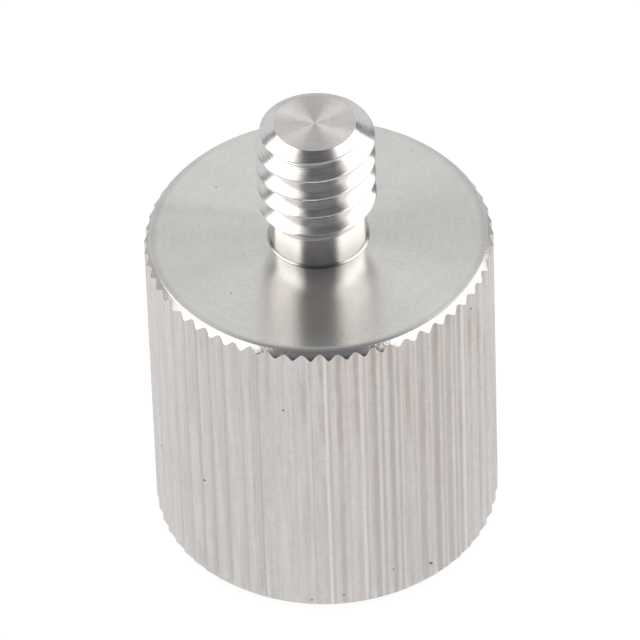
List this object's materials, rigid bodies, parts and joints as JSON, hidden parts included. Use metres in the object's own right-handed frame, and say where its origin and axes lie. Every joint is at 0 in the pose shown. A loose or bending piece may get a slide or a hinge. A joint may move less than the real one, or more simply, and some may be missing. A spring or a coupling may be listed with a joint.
{
  "type": "tripod thread adapter",
  "caption": "Knurled steel barrel with a short threaded stud on its flat top face and a larger threaded socket in its underside, joining a camera or mount to a tripod of another thread.",
  "frame": {"origin": "centre of the underside, on the threads' common axis", "axes": "+Z along the axis, from the socket's mouth up through the stud; -Y is the side that faces the camera"},
  "size_m": [0.0184, 0.0184, 0.0267],
  "materials": {
    "turned_steel": "bare stainless steel: finely turned faces, bright cut threads and chamfers, satin straight knurl"
  },
  "bodies": {
    "root": {"thread_adapter": "turned_steel"}
  },
  "joints": []
}
